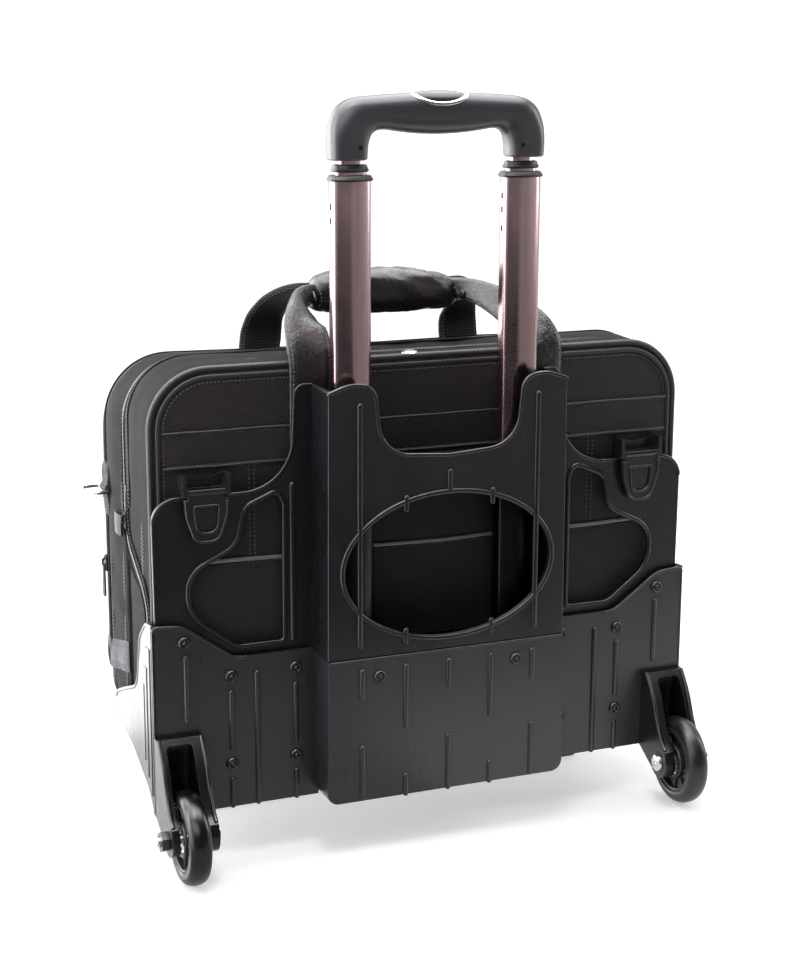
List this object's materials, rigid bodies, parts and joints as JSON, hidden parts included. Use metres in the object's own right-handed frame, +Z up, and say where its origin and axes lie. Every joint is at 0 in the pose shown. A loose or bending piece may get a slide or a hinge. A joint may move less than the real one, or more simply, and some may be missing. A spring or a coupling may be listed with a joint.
{
  "type": "rolling laptop case",
  "caption": "Soft zipped laptop bag clipped to a moulded wheeled trolley with a telescopic pull handle, carry handles, latches and opening compartments.",
  "frame": {"origin": "on the floor, under the centre of the whole case", "axes": "+Z up, +X across the case to the right as seen from the trolley side, -Y towards the trolley side with the wheels, +Y towards the bag's front"},
  "size_m": [0.4772, 0.2462, 0.5712],
  "materials": {
    "shell": "satin black moulded plastic",
    "fork": "black moulded plastic, slightly glossier",
    "rivet": "black push rivet",
    "steel": "bright zinc-plated steel",
    "dark_tube": "dark anodised metal",
    "rose_tube": "rose-bronze anodised aluminium, satin",
    "collar": "black plastic bush",
    "grip": "black soft-touch moulding",
    "button": "black plastic",
    "chrome": "satin chrome trim",
    "tyre": "black polyurethane tread",
    "hub": "black moulded nylon",
    "foot": "black rubber",
    "nylon": "black twill-woven ballistic nylon",
    "leather": "black pebbled leather trim",
    "clip": "black acetal",
    "nickel": "bright nickel"
  },
  "bodies": {
    "trolley": {"back_panel": "shell", "base_shell": "shell", "tube_brace": "shell", "wheel_fork_left": "fork", "wheel_fork_right": "fork", "stand_leg_left": "shell", "stand_leg_right": "shell", "foot_pad_left": "foot", "foot_pad_right": "foot", "axle_bolt_left": "steel", "axle_bolt_right": "steel", "axle_nut_left": "rivet", "axle_nut_right": "rivet", "fixed_tube_left": "dark_tube", "fixed_tube_right": "dark_tube", "rivet_corner_left": "rivet", "rivet_corner_right": "rivet", "rivet_upper_outer_left": "rivet", "rivet_upper_outer_right": "rivet", "rivet_upper_inner_left": "rivet", "rivet_upper_inner_right": "rivet", "rivet_lower_outer_left": "rivet", "rivet_lower_outer_right": "rivet", "rivet_lower_inner_left": "rivet", "rivet_lower_inner_right": "rivet", "rivet_centre_left": "rivet", "rivet_centre_right": "rivet"},
    "wheel_left": {"wheel_tyre_left": "tyre", "wheel_hub_left": "hub", "wheel_bearing_left": "steel"},
    "wheel_right": {"wheel_tyre_right": "tyre", "wheel_hub_right": "hub", "wheel_bearing_right": "steel"},
    "stage1": {"stage1_tube_left": "rose_tube", "stage1_tube_right": "rose_tube", "stage1_collar_left": "collar", "stage1_collar_right": "collar"},
    "stage2": {"stage2_tube_left": "rose_tube", "stage2_tube_right": "rose_tube", "stage2_collar_left": "collar", "stage2_collar_right": "collar"},
    "pull_handle": {"stage3_tube_left": "rose_tube", "stage3_tube_right": "rose_tube", "handle_grip": "grip", "grip_ring": "chrome"},
    "release_button": {"grip_button": "button"},
    "bag": {"bag_rear_section": "nylon", "carry_strap_rear": "nylon", "carry_wrap": "leather", "latch_base_left": "clip", "latch_base_right": "clip"},
    "latch_left": {"latch_tongue_left": "clip"},
    "latch_right": {"latch_tongue_right": "clip"},
    "front_section": {"bag_front_section": "nylon", "carry_strap_front": "nylon"},
    "front_pocket": {"bag_front_pocket": "nylon"},
    "strap_ring_left": {"strap_ring_left": "nickel"},
    "strap_ring_right": {"strap_ring_right": "nickel"},
    "main_zip": {"main_zip_slider": "button"},
    "pocket_zip": {"pocket_zip_slider": "button"}
  },
  "joints": [
    {"name": "wheel_left_spin", "type": "hinge", "parent": "trolley", "child": "wheel_left", "pos_m": [-0.2065, -0.0878, 0.0353], "axis": [1, 0, 0], "continuous": true},
    {"name": "wheel_right_spin", "type": "hinge", "parent": "trolley", "child": "wheel_right", "pos_m": [0.2065, -0.0878, 0.0353], "axis": [1, 0, 0], "continuous": true},
    {"name": "stage1_slide", "type": "slide", "parent": "trolley", "child": "stage1", "axis": [0, 0, 1], "range_m": [-0.15, 0]},
    {"name": "stage2_slide", "type": "slide", "parent": "stage1", "child": "stage2", "axis": [0, 0, 1], "range_m": [0, 0.2]},
    {"name": "handle_slide", "type": "slide", "parent": "stage2", "child": "pull_handle", "axis": [0, 0, 1], "range_m": [0, 0.2]},
    {"name": "button_press", "type": "slide", "parent": "pull_handle", "child": "release_button", "axis": [0, 0, -1], "range_m": [0, 0.004], "stiffness_N_per_m": 600},
    {"name": "bag_lift", "type": "slide", "parent": "trolley", "child": "bag", "axis": [0, 0, 1], "range_m": [0, 0.15]},
    {"name": "latch_left_flip", "type": "hinge", "parent": "bag", "child": "latch_left", "pos_m": [-0.179, -0.0552, 0.2866], "axis": [-1, 0, 0], "range_deg": [0, 95]},
    {"name": "latch_right_flip", "type": "hinge", "parent": "bag", "child": "latch_right", "pos_m": [0.179, -0.0552, 0.2866], "axis": [-1, 0, 0], "range_deg": [0, 95]},
    {"name": "front_section_open", "type": "hinge", "parent": "bag", "child": "front_section", "pos_m": [0, 0.0895, 0.087], "axis": [-1, 0, 0], "range_deg": [0, 60]},
    {"name": "front_pocket_open", "type": "hinge", "parent": "front_section", "child": "front_pocket", "pos_m": [0, 0.1036, 0.0915], "axis": [-1, 0, 0], "range_deg": [0, 35]},
    {"name": "strap_ring_left_swing", "type": "hinge", "parent": "front_section", "child": "strap_ring_left", "pos_m": [-0.2196, 0.082, 0.2618], "axis": [0, -1, 0], "range_deg": [-60, 80]},
    {"name": "strap_ring_right_swing", "type": "hinge", "parent": "front_section", "child": "strap_ring_right", "pos_m": [0.2196, 0.082, 0.2618], "axis": [0, 1, 0], "range_deg": [-60, 80]},
    {"name": "main_zip_run", "type": "slide", "parent": "bag", "child": "main_zip", "axis": [0, 0, 1], "range_m": [-0.09, 0.06]},
    {"name": "pocket_zip_run", "type": "slide", "parent": "front_section", "child": "pocket_zip", "axis": [0, 0, 1], "range_m": [-0.06, 0.035]}
  ]
}
